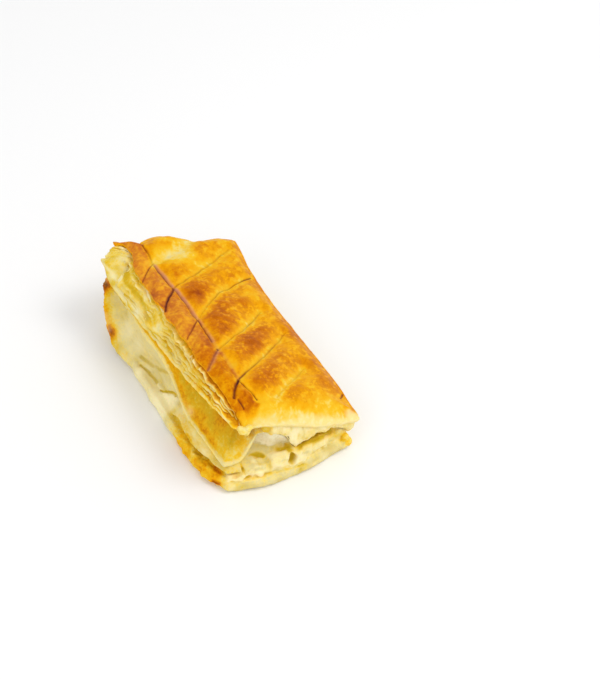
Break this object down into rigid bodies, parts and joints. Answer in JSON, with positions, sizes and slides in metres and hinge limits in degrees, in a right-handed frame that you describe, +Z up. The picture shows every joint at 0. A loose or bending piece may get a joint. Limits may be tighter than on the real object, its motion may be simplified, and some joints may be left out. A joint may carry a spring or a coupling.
{
  "type": "cheese puff pastry",
  "caption": "Rectangular baked puff pastry with a scored golden crust, a tall open flaky long side, a low folded side and pale torn layers at its ends.",
  "frame": {"origin": "on the flat underside, below the middle of the bounding box", "axes": "+Z up; Y along the pastry, its cut front end facing -Y; X across it, the tall open side facing -X and the low folded side +X"},
  "size_m": [0.0736, 0.127, 0.046],
  "materials": {
    "baked_dough": "baked golden-brown crust with a soft egg-wash sheen, paler matt dough at the torn edges"
  },
  "bodies": {
    "root": {"pastry": "baked_dough"}
  },
  "joints": []
}
